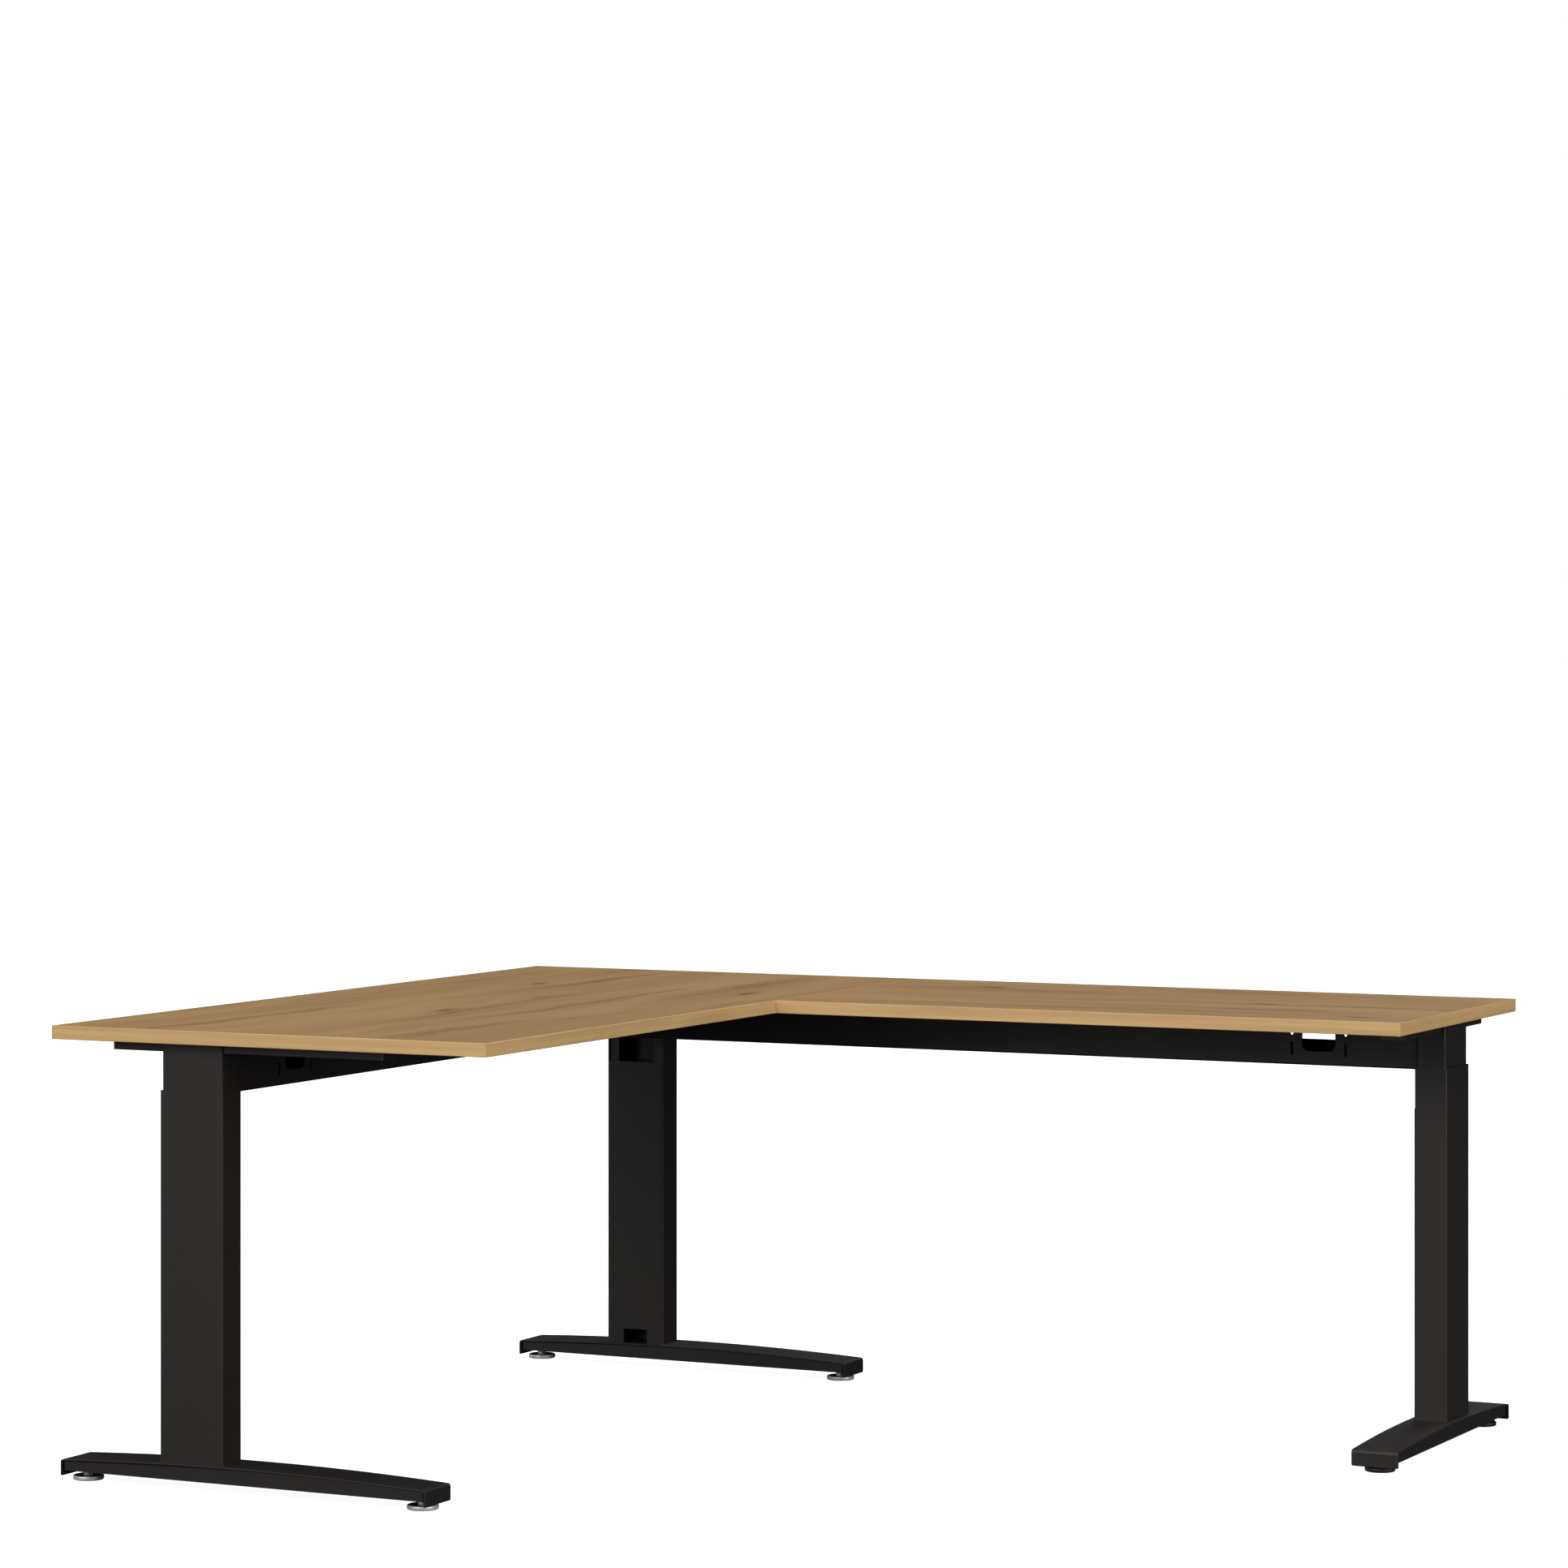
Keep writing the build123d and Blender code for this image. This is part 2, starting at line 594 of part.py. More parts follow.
def main_end_plates():
    plate = end_plate(windowed=True)
    placed = [on_main(plate, MAIN_TRAVERSE_START, 1), on_main(plate, MAIN_TRAVERSE_END, -1)]
    return Compound(children=placed)


def return_end_plates():
    at_column = on_return(end_plate(windowed=True), RETURN_TRAVERSE_END, -1)
    at_main = on_return(end_plate(windowed=False), RETURN_TRAVERSE_START, 1)
    return Compound(children=[at_column, at_main])


def traverse_bolts():
    """Bolts are drawn with the head inside the trough and the nut beyond the joined wall."""
    placed = []
    for bolt in end_bolts(BOLT_GRIP):
        inward = Pos(0, END_PLATE, 0) * mirror(bolt, about=Plane.XZ)
        placed.append(on_main(inward, MAIN_TRAVERSE_START, 1))
        placed.append(on_main(inward, MAIN_TRAVERSE_END, -1))
        placed.append(on_return(inward, RETURN_TRAVERSE_END, -1))
        placed.append(on_return(inward, RETURN_TRAVERSE_START, 1))
    return Compound(children=placed)


# ---- the whole desk ----------------------------------------------------------------------
def leg_nodes(leg):
    """Every piece of one leg, by node name, in the leg's own frame."""
    nodes = {
        "outer_column": outer_column(leg),
        "inner_column": inner_column(),
        "glides": glides(),
        "lock_screws": lock_screws(),
        "foot_cover": foot_cover(leg),
        "foot_rail": foot_rail(leg),
        "foot_inserts": foot_inserts(leg),
        "top_bar": top_bar(leg),
        "bar_caps": bar_caps(leg),
        "board_screws": board_screws(leg),
    }
    for end, across in pad_places(leg).items():
        nodes[f"pad_{end}"] = pad_disc(across)
        nodes[f"stud_{end}"] = pad_stud(across)
    return nodes


def all_nodes():
    nodes = {
        "main_board": board_core("main"),
        "return_board": board_core("return"),
        "main_edge_bands": edge_bands("main"),
        "return_edge_bands": edge_bands("return"),
        "seam_plates": seam_plates(),
        "seam_screws": seam_screws(),
        "main_traverse": main_traverse(),
        "return_traverse": return_traverse(),
        "main_end_plates": main_end_plates(),
        "return_end_plates": return_end_plates(),
        "traverse_bolts": traverse_bolts(),
    }
    for leg in LEGS:
        for name, shape in leg_nodes(leg).items():
            nodes[f"{leg}_{name}"] = place(shape, leg)
    return nodes


os.makedirs("parts", exist_ok=True)
for node, shape in all_nodes().items():
    export_step(shape, f"parts/{node}.step")
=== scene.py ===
# %% [markdown]
# # A corner desk on three telescoping legs
# The desk is an L of two wood-look boards on black steel legs. Its sizes and joints come from a
# packed CAD frame, which we load first and never move. Blender's share is the looks: every
# finish, and the small turned and threaded pieces that are easier to make as surfaces.

# %% Load the frame
import json
import math
import bpy
import numpy as np
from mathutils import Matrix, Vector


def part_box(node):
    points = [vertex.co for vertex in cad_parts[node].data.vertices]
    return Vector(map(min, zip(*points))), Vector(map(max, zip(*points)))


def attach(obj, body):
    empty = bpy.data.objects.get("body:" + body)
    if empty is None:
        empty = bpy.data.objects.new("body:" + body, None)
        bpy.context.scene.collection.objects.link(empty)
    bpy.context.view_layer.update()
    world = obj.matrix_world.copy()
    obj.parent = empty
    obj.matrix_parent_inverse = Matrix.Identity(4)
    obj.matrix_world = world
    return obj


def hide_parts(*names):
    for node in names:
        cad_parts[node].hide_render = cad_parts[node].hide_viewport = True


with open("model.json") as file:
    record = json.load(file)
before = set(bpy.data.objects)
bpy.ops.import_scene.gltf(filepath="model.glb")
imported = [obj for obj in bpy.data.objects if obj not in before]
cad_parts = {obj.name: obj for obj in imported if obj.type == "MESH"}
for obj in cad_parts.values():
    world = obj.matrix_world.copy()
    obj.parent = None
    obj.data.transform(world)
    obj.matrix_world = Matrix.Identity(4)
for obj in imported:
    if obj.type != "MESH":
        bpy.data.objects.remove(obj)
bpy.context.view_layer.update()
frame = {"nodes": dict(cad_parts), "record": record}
MM = 0.001
LEGS = ("main_leg", "corner_leg", "return_leg")
ENDS = ("rear", "front")

# %% [markdown]
# ## Shader maths as Python
# A procedural finish is a small formula. Wiring it by hand takes dozens of Math nodes, so we wrap
# a socket in a class whose + - * / add those nodes for us, also when a plain number stands first.

# %% A value that adds its own Math nodes
class Value:
    """A shader socket that Python arithmetic can use."""

    def __init__(self, finish, socket):
        self.finish = finish
        self.socket = socket

    def math(self, operation, *others):
        return self.finish.node("ShaderNodeMath", {"operation": operation}, (self, *others))

    def __add__(self, other):
        return self.math("ADD", other)

    def __mul__(self, other):
        return self.math("MULTIPLY", other)

    def __sub__(self, other):
        return self.math("SUBTRACT", other)

    def __truediv__(self, other):
        return self.math("DIVIDE", other)

    def __rsub__(self, other):
        return self.finish.node("ShaderNodeMath", {"operation": "SUBTRACT"}, (other, self))

    def __rtruediv__(self, other):
        return self.finish.node("ShaderNodeMath", {"operation": "DIVIDE"}, (other, self))

    __radd__ = __add__
    __rmul__ = __mul__


print("a plain number may stand first in", [name for name in vars(Value) if name.startswith("__r")])

# %% [markdown]
# ## One object for one finish
# Each finish is a material with one Principled shader. A number that is the same all over is set on
# the shader's own socket. Whatever varies comes from nodes, and one method adds any kind of node,
# so that a finish reads like a recipe: noise, step, mix, bump.

# %% A finish is one material
class Finish:
    """One material, its Principled shader, and the method that adds every other node."""

    def __init__(self, name, **constants):
        self.material = bpy.data.materials.new(name)
        self.material.use_nodes = True
        self.tree = self.material.node_tree
        self.shader = self.tree.nodes["Principled BSDF"]
        for socket, value in constants.items():
            self.shader.inputs[socket.replace("_", " ")].default_value = value

    def node(self, kind, settings=None, inputs=(), output=0):
        """Add a node: settings first, then its sockets by place or by name."""
        made = self.tree.nodes.new(kind)
        for name, setting in (settings or {}).items():
            setattr(made, name, setting)
        named = inputs.items() if isinstance(inputs, dict) else enumerate(inputs)
        for key, value in named:
            self.connect(self.find(made, key), value)
        outputs = [s for s in made.outputs if s.enabled]
        chosen = outputs[output] if isinstance(output, int) else made.outputs[output]
        return Value(self, chosen)

    @staticmethod
    def find(made, key):
        """A node's socket: by its place, or the enabled one of that name."""
        if isinstance(key, int):
            return made.inputs[key]
        return next(s for s in made.inputs if s.enabled and s.name == key)

    def connect(self, socket, value):
        if isinstance(value, Value):
            self.tree.links.new(value.socket, socket)
        else:
            socket.default_value = value

    def set(self, name, value):
        """Feed one of the Principled shader's sockets."""
        self.connect(self.shader.inputs[name], value)

    def place(self):
        """Where a point is on its object, in metres."""
        return self.node("ShaderNodeTexCoord", output="Object")

    def part(self, vector, axis):
        """One of a vector's parts: X, Y or Z."""
        return self.node("ShaderNodeSeparateXYZ", None, {"Vector": vector}, axis)

    def stretched(self, vector, scale, shift=(0.0, 0.0, 0.0)):
        """Coordinates moved and scaled: a big scale makes a fine pattern."""
        sockets = {"Vector": vector, "Location": shift, "Scale": scale}
        return self.node("ShaderNodeMapping", None, sockets)

    def noise(self, vector, scale=1.0, detail=2.0, roughness=0.5):
        sockets = {"Vector": vector, "Scale": scale, "Detail": detail, "Roughness": roughness}
        return self.node("ShaderNodeTexNoise", None, sockets)

    def step(self, value, low, high):
        """0 below low, 1 above high, smooth between."""
        settings = {"interpolation_type": "SMOOTHSTEP"}
        sockets = {"Value": value, "From Min": low, "From Max": high}
        return self.node("ShaderNodeMapRange", settings, sockets)

    def mix(self, factor, first, second):
        """A blend of two colours."""
        sockets = {"Factor": factor, "A": first, "B": second}
        return self.node("ShaderNodeMix", {"data_type": "RGBA"}, sockets)

    def bump(self, height, distance, strength):
        sockets = {"Height": height, "Distance": distance, "Strength": strength}
        self.set("Normal", self.node("ShaderNodeBump", None, sockets))


def colour(red, green, blue):
    return (red, green, blue, 1.0)


print("a finish has the methods", [name for name in vars(Finish) if not name.startswith("_")])

# %% [markdown]
# ## Oak-look board
# The boards are chipboard faced with an oak print. The print runs along each board's length, with
# soft bands, dark streaks that swing round small knots, and short pores. A scanned sheet of timber
# would do it, but it can't be resized or recoloured, so we compute it. Noise squeezed across the
# grain gives bands and fibres. Streaks and knots are what the eye remembers, so each is given one by
# one:
# a streak is a lane round one line of the bent grain, and a knot is a dark spot that bends it.
# The board isn't real timber, so its face is nearly flat: the bump is only the pressed pores.

# %% The oak print
OAK_LIGHT = colour(0.257, 0.156, 0.0700)
OAK_MID = colour(0.213, 0.126, 0.0545)
OAK_DARK = colour(0.128, 0.071, 0.0290)
OAK_KNOT = colour(0.070, 0.036, 0.0150)
STREAK_FADE_IN = 0.22
STREAK_FADE_OUT = 0.24
KNOT_STRETCH = 3.2
KNOT_BEND = 0.55
SWAY = 0.110
RIPPLE = 0.075
PORE_DEPTH = 0.06 * MM
RETURN_SHIFT = 5.3


def lane(oak, across, along, uneven, streak):
    """A dark core in a soft halo: 1 - |across - at| / width, made ragged by an uneven noise."""
    at, start, end, width = streak
    away = (across - at + (uneven - 0.5) * width * 2.0).math("ABSOLUTE")
    core = 1 - oak.step(away, width * 0.05, width * 0.70)
    halo = 1 - oak.step(away, 0.0, width * 2.6)
    fade_in = oak.step(along, start, start + STREAK_FADE_IN)
    fade_out = 1 - oak.step(along, end - STREAK_FADE_OUT, end)
    return (core * 0.34 + halo * 0.24) * fade_in * fade_out * (uneven * 1.5 + 0.20)


def knot_reach(across, along, knot):
    """How near a knot is, 1 at its heart: 1 - sqrt((along / long)^2 + (across / wide)^2)."""
    at, place, size = knot
    flat = (along - place) / (size * KNOT_STRETCH)
    tall = (across - at) / size
    distance = (flat * flat + tall * tall).math("SQRT")
    return 1 - distance.math("MINIMUM", 1.0)


def oak_print(name, along_y, shift, streaks, knots):
    """An oak face whose grain runs along Y or X; shift picks a different part of the noise."""
    oak = Finish(name, Roughness=0.5, Specular_IOR_Level=0.12)
    place = oak.place()
    x = oak.part(place, "X")
    y = oak.part(place, "Y")
    along, across = (y, x) if along_y else (x, y)

    plane = oak.node("ShaderNodeCombineXYZ", None, {"X": along, "Y": across, "Z": shift})
    sway = oak.noise(oak.stretched(plane, (1.5, 3.4, 1.0)), 1.0, 2.0)
    ripple = oak.noise(oak.stretched(plane, (4.6, 6.5, 1.0)), 1.0, 2.0)
    uneven = oak.noise(oak.stretched(plane, (5.0, 16.0, 1.0)), 1.0, 3.0, 0.6)
    bent = across + (sway - 0.5) * SWAY + (ripple - 0.5) * RIPPLE
    reaches = [knot_reach(across, along, knot) for knot in knots]
    for reach, (_, _, size) in zip(reaches, knots):
        bent = bent + reach * reach * size * KNOT_BEND

    flow = oak.node("ShaderNodeCombineXYZ", None, {"X": along, "Y": bent, "Z": shift})
    broad = oak.noise(oak.stretched(flow, (0.9, 9.0, 1.0)), 1.0, 2.0, 0.5)
    bands = oak.noise(oak.stretched(flow, (1.3, 38.0, 1.0)), 1.0, 3.0, 0.6)
    rings = oak.noise(oak.stretched(flow, (2.2, 150.0, 1.0)), 1.0, 3.0, 0.6)
    fibre = oak.noise(oak.stretched(flow, (9.0, 620.0, 1.0)), 1.0, 3.0, 0.6)
    wisps = oak.noise(oak.stretched(flow, (1.9, 27.0, 1.0), shift=(3.7, 1.3, 0)), 1.0, 4.0, 0.62)
    pores = oak.noise(oak.stretched(flow, (26.0, 1150.0, 1.0)), 1.0, 2.0, 0.5)

    tone = broad * 0.44 + bands * 0.24 + rings * 0.20 + fibre * 0.12
    base = oak.mix(oak.step(tone, 0.42, 0.60), OAK_MID, OAK_LIGHT)
    dark = oak.step(wisps, 0.54, 0.74) * 0.50
    for streak in streaks:
        dark = dark + lane(oak, bent, along, uneven, streak) * (0.55 + rings * 0.9)
    for reach in reaches:
        dark = dark + oak.step(reach, 0.20, 0.85) * 0.55
    streaked = oak.mix(dark.math("MINIMUM", 1.0), base, OAK_DARK)
    pored_mask = oak.step(pores, 0.60, 0.70)
    coloured = oak.mix(pored_mask * 0.22, streaked, OAK_DARK)
    for reach in reaches:
        coloured = oak.mix(oak.step(reach, 0.62, 0.82) * 0.80, coloured, OAK_KNOT)
    oak.set("Base Color", coloured)
    oak.set("Roughness", 0.47 + fibre * 0.10 + pored_mask * 0.10)
    oak.bump(fibre * 0.25 - pored_mask * 0.75, PORE_DEPTH, 0.6)
    return oak.material


# Each streak is (across, start, end, width) and each knot is (across, along, size), in metres.
MAIN_STREAKS = (
    (-0.435, -0.45, 0.38, 0.016),
    (-0.655, 0.10, 0.85, 0.014),
    (-0.530, -0.60, 0.30, 0.020),
    (-0.335, -0.85, -0.25, 0.014),
    (-0.345, 0.05, 0.80, 0.022),
    (-0.770, -0.90, -0.10, 0.016),
    (-0.880, 0.20, 0.85, 0.018),
)
MAIN_KNOTS = ((-0.277, 0.32, 0.028), (-0.725, 0.38, 0.022), (-0.560, -0.24, 0.024))
RETURN_STREAKS = (
    (0.365, 0.05, 0.95, 0.020),
    (0.615, -0.20, 0.40, 0.020),
    (0.470, 0.15, 1.00, 0.014),
    (0.270, -0.10, 0.60, 0.014),
    (0.700, 0.35, 1.00, 0.018),
)
RETURN_KNOTS = ((0.660, 0.045, 0.028), (0.495, 0.62, 0.024), (0.285, 0.86, 0.022))
oak_main = oak_print("oak_print_main", True, 0.0, MAIN_STREAKS, MAIN_KNOTS)
oak_return = oak_print("oak_print_return", False, RETURN_SHIFT, RETURN_STREAKS, RETURN_KNOTS)
print("made", oak_main.name, "and", oak_return.name)

# %% [markdown]
# ## Edge banding
# The sides are covered with thin plastic edging printed with straight oak grain. It is a little
# lighter than the faces. A strip may run along X or along Y, and one material serves both: the
# object-space normal says which way a face looks, and the grain runs the other way. Where the
# strip's own edge faces up it is trimmed flush with the print, so there it takes the print's tone.

# %% The edging
EDGE_LIGHT = colour(0.503, 0.324, 0.143)
EDGE_DARK = colour(0.418, 0.261, 0.111)
EDGE_FLECK = colour(0.300, 0.170, 0.068)
EDGE_TEXTURE = 0.04 * MM


def oak_edging(name):
    edging = Finish(name, Roughness=0.42, Specular_IOR_Level=0.25)
    normal = edging.node("ShaderNodeTexCoord", output="Normal")
    sideways = edging.part(normal, "X")
    upward = edging.part(normal, "Z")
    faces_x = edging.step(sideways.math("ABSOLUTE"), 0.60, 0.62)
    faces_up = edging.step(upward, 0.60, 0.90)
    place = edging.place()

    def grain(along, across, detail):
        """The same straight grain laid along X and along Y; the face's direction picks one."""
        along_x = edging.noise(edging.stretched(place, (along, across, across)), 1.0, detail)
        along_y = edging.noise(edging.stretched(place, (across, along, across)), 1.0, detail)
        return along_x * (1 - faces_x) + along_y * faces_x

    bands = grain(1.6, 130.0, 3.0)
    fibre = grain(9.0, 900.0, 3.0)
    patches = grain(2.3, 22.0, 2.0)
    tone = bands * 0.50 + fibre * 0.25 + patches * 0.25
    side = edging.mix(edging.step(tone, 0.38, 0.62), EDGE_DARK, EDGE_LIGHT)
    flecked = edging.mix(edging.step(patches, 0.58, 0.72) * 0.35, side, EDGE_FLECK)
    trimmed = edging.mix(tone, OAK_MID, OAK_LIGHT)
    edging.set("Base Color", edging.mix(faces_up, flecked, trimmed))
    edging.set("Roughness", 0.38 + fibre * 0.12)
    edging.bump(fibre, EDGE_TEXTURE, 0.5)
    return edging.material


edge_material = oak_edging("oak_edging")
print("made", edge_material.name)

# %% [markdown]
# ## Powder-coated steel
# Powder coat is sprayed as dust and baked, so its skin has a faint orange-peel and a fine sparkle
# of roughness. Two noises of different size make the skin, a third makes the sheen uneven, and
# the low parts of the legs get a few pale scuffs, because feet touch them.

# %% Black powder coat
COAT_DARK = colour(0.0092, 0.0076, 0.0064)
COAT_LIGHT = colour(0.0111, 0.0092, 0.0077)
SCUFF = colour(0.07, 0.07, 0.068)
SCUFFED_BELOW = 0.30
PEEL_DEPTH = 0.05 * MM


def powder_coat(name):
    coat = Finish(name, Roughness=0.45, Specular_IOR_Level=0.30)
    place = coat.place()
    peel = coat.noise(place, 420.0, 2.0)
    grit = coat.noise(place, 1900.0, 2.0)
    cloud = coat.noise(place, 9.0, 3.0)
    height = coat.part(place, "Z")
    low_down = 1 - coat.step(height, 0.02, SCUFFED_BELOW)
    scratch = coat.noise(coat.stretched(place, (60.0, 60.0, 420.0)), 1.0, 4.0, 0.65)
    scuff = coat.step(scratch, 0.66, 0.76) * low_down * coat.step(cloud, 0.50, 0.62)
    body = coat.mix(cloud, COAT_DARK, COAT_LIGHT)
    coat.set("Base Color", coat.mix(scuff * 0.30, body, SCUFF))
    coat.set("Roughness", 0.40 + cloud * 0.08 + grit * 0.08)
    coat.bump(peel * 0.7 + grit * 0.3, PEEL_DEPTH, 0.5)
    return coat.material


powder = powder_coat("black_powder_coat")
print("made", powder.name)

# %% [markdown]
# ## Satin chrome, zinc, plastic and rubber
# The small parts need little. The pads' plating is satin, so a mirror would be wrong: it shows the
# dark of the room, where satin gathers the light from a wide angle and stays pale. The chrome is only
# half metallic, so its pale base colour also shows as a matt coat, a painted sheen that keeps the pads
# evenly pale. Zinc is duller and blotchy, moulded plastic has a fine spark-eroded texture, and rubber
# is nearly matt.

# %% The small finishes
CHROME_MARKS = 0.01 * MM
ZINC_RELIEF = 0.03 * MM
MOULD_GRAIN = 0.05 * MM


def chrome_with_painted_sheen(name):
    # Metallic is only 0.55, so the pale base colour also acts as a matt coat: a painted sheen.
    chrome = Finish(name, Metallic=0.55, Roughness=0.4)
    place = chrome.place()
    marks = chrome.noise(chrome.stretched(place, (300.0, 300.0, 2200.0)), 1.0, 3.0)
    haze = chrome.noise(place, 45.0, 3.0)
    chrome.set("Base Color", chrome.mix(haze, colour(0.54, 0.52, 0.48), colour(0.68, 0.66, 0.61)))
    chrome.set("Roughness", 0.32 + haze * 0.08 + marks * 0.10)
    chrome.bump(marks, CHROME_MARKS, 0.4)
    return chrome.material


def zinc_plate(name):
    zinc = Finish(name, Metallic=1.0, Roughness=0.34)
    place = zinc.place()
    spangle = {"feature": "F1"}
    grains = zinc.node("ShaderNodeTexVoronoi", spangle, {"Vector": place, "Scale": 700.0}, "Color")
    tint = zinc.node("ShaderNodeSeparateColor", None, {"Color": grains})
    cloud = zinc.noise(place, 160.0, 3.0)
    tone = tint * 0.5 + cloud * 0.5
    zinc.set("Base Color", zinc.mix(tone, colour(0.42, 0.43, 0.44), colour(0.62, 0.62, 0.61)))
    zinc.set("Roughness", 0.26 + tone * 0.18)
    zinc.bump(cloud, ZINC_RELIEF, 0.4)
    return zinc.material


def moulded(name, dark, light, roughness, grain_scale):
    """Plastic or rubber: one colour with a slight cloud and a fine moulded grain."""
    plastic = Finish(name, Roughness=roughness)
    place = plastic.place()
    grain = plastic.noise(place, grain_scale, 2.0)
    cloud = plastic.noise(place, 30.0, 2.0)
    plastic.set("Base Color", plastic.mix(cloud, dark, light))
    plastic.set("Roughness", roughness - 0.06 + grain * 0.12)
    plastic.bump(grain, MOULD_GRAIN, 0.5)
    return plastic.material


chrome_material = chrome_with_painted_sheen("chrome_with_painted_sheen")
zinc_material = zinc_plate("zinc_plate")
plastic_material = moulded(
    "black_plastic", colour(0.012, 0.012, 0.012), colour(0.020, 0.020, 0.020), 0.5, 1500.0
)
rubber_material = moulded(
    "black_rubber", colour(0.014, 0.014, 0.013), colour(0.026, 0.025, 0.024), 0.8, 900.0
)
small_finishes = (chrome_material, zinc_material, plastic_material, rubber_material)
print("made", [material.name for material in small_finishes])

# %% [markdown]
# ## Dress the CAD pieces
# The pieces whose CAD shape is already right keep it and only change material. The record's slot
# names the finish; the two boards share a slot but need their grain turned, so they are set apart.

# %% Give each CAD piece its finish
slot_finish = {
    "oak_top": oak_main,
    "oak_edge": edge_material,
    "black_powder_coat": powder,
    "chrome": chrome_material,
    "zinc_steel": zinc_material,
    "black_plastic": plastic_material,
}
for subpart in frame["record"]["subparts"]:
    node = frame["nodes"][subpart["node"]]
    node.data.materials.clear()
    node.data.materials.append(slot_finish[subpart["material_slot"]])
frame["nodes"]["return_board"].data.materials[0] = oak_return

# %% [markdown]
# ## Turned and threaded pieces
# A lathe turns a profile round an axis, and we do the same: the profile is a row of (radius,
# height) points, and the angle is the other parameter of the grid. A thread is the same surface
# with a radius that also depends on the angle. Both give a closed skin with no loose ends.

# %% Make a mesh from a grid of points
def ring_quads(rows, columns):
    """Corner numbers of the faces between each row and the next; the columns wrap round."""
    row, column = np.meshgrid(np.arange(rows - 1), np.arange(columns), indexing="ij")
    after = (column + 1) % columns
    first = row * columns
    above = first + columns
    return np.stack([first + column, first + after, above + after, above + column], -1).reshape(-1, 4)


def add_mesh(name, grid, faces):
    """Put a mesh of these points and faces in the scene."""
    mesh = bpy.data.meshes.new(name)
    mesh.from_pydata(grid.reshape(-1, 3).tolist(), [], faces)
    made = bpy.data.objects.new(name, mesh)
    bpy.context.scene.collection.objects.link(made)
    return made


def skin(name, grid, material, smooth_angle=35.0):
    """A mesh from points[row, column, xyz]; columns wrap round and the ends are closed."""
    rows, columns, _ = grid.shape
    bottom = list(range(columns))[::-1]
    top = list(range((rows - 1) * columns, rows * columns))
    made = add_mesh(name, grid, ring_quads(rows, columns).tolist() + [bottom, top])
    made.data.materials.append(material)
    made.data.shade_smooth()
    made.data.set_sharp_from_angle(angle=math.radians(smooth_angle))
    return made


def turned(profile, centre, segments=96, ripple=None):
    """Points of a lathe surface: x = cx + r cos a, y = cy + r sin a, z = h, r + ripple(a, h)."""
    profile = np.asarray(profile, float)
    angle = np.linspace(0, 2 * np.pi, segments, endpoint=False)
    height, turn = np.meshgrid(profile[:, 1], angle, indexing="ij")
    radius = np.repeat(profile[:, :1], segments, axis=1)
    if ripple is not None:
        radius = radius + ripple(turn, height)
    x = centre[0] + radius * np.cos(turn)
    y = centre[1] + radius * np.sin(turn)
    return np.stack([x, y, height], -1)


def arc(centre, radius, start, end, steps):
    """Points of a circular arc in the profile's plane, from start to end in degrees."""
    angle = np.radians(np.linspace(start, end, steps))
    return [(centre[0] + radius * math.cos(a), centre[1] + radius * math.sin(a)) for a in angle]


def middle(node):
    """The middle of a CAD node's box."""
    low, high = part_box(node)
    return (low + high) / 2


print("a ring of 4 columns and 3 rows has", len(ring_quads(3, 4)), "faces round it")

# %% [markdown]
# ## Levelling pads
# Each pad is a pressed steel disc with a rolled rim round a shallow dish. A black plastic cup sits
# in the dish and a rubber sole under it keeps the floor from being marked. The three are separate
# pieces that ride on the same small body, so they go down together. The discs are satin chrome;
# on the return leg they get the black powder coat instead, which is painted shade: those pads are
# the same chrome, standing in shade.

# %% The pads
DISC_BOTTOM = 0.9 * MM
DISC_FLAT_INSET = 4.5 * MM
DISC_HEEL = 1.8 * MM
DISC_RIM = 2.2 * MM
DISH_DEPTH = 1.5 * MM
DISH_CORNER = 0.6 * MM
CUP_INSET = 5.2 * MM
CUP_BELOW_RIM = 0.4 * MM
CUP_MOUTH = 9.5 * MM
CUP_HOLE = 8.9 * MM
CUP_SOFT = 0.5 * MM
SOLE_INSET = 3.0 * MM
SOLE_SOFT = 0.7 * MM
SOLE_OVERLAP = 0.05 * MM
CENTRE_HOLE = 0.2 * MM


def pad_profile(radius, height):
    """Up the outside, over the rolled rim, down into the dish: closed at both axis ends."""
    dish = height - DISH_DEPTH
    heel_centre = (radius - DISC_HEEL - 0.3 * MM, DISC_HEEL + 0.2 * MM)
    profile = [(CENTRE_HOLE, DISC_BOTTOM), (radius - DISC_FLAT_INSET, DISC_BOTTOM)]
    profile += arc(heel_centre, DISC_HEEL, -70, -5, 8)
    profile += arc((radius - DISC_RIM, height - DISC_RIM), DISC_RIM, 0, 150, 16)
    profile += arc((radius - CUP_INSET, dish + DISH_CORNER), DISH_CORNER, -20, -90, 5)
    profile += [(CENTRE_HOLE, dish)]
    return profile


def cup_profile(radius, low, high):
    """A flat black ring with softened edges, which fills the dish round the collar."""
    profile = [(CENTRE_HOLE, low), (radius - CUP_SOFT, low)]
    profile += arc((radius - CUP_SOFT, high - CUP_SOFT), CUP_SOFT, 0, 90, 5)
    profile += [(CUP_MOUTH, high), (CUP_HOLE, high - CUP_SOFT), (CENTRE_HOLE, high - CUP_SOFT)]
    return profile


def sole_profile(radius, top):
    """A rubber disc whose lower edge is rounded and whose face is dished by a hair."""
    profile = [(CENTRE_HOLE, 0.25 * MM), (radius * 0.55, 0.0)]
    profile += arc((radius - SOLE_SOFT, SOLE_SOFT), SOLE_SOFT, -90, 0, 6)
    profile += [(radius, top), (CENTRE_HOLE, top)]
    return profile


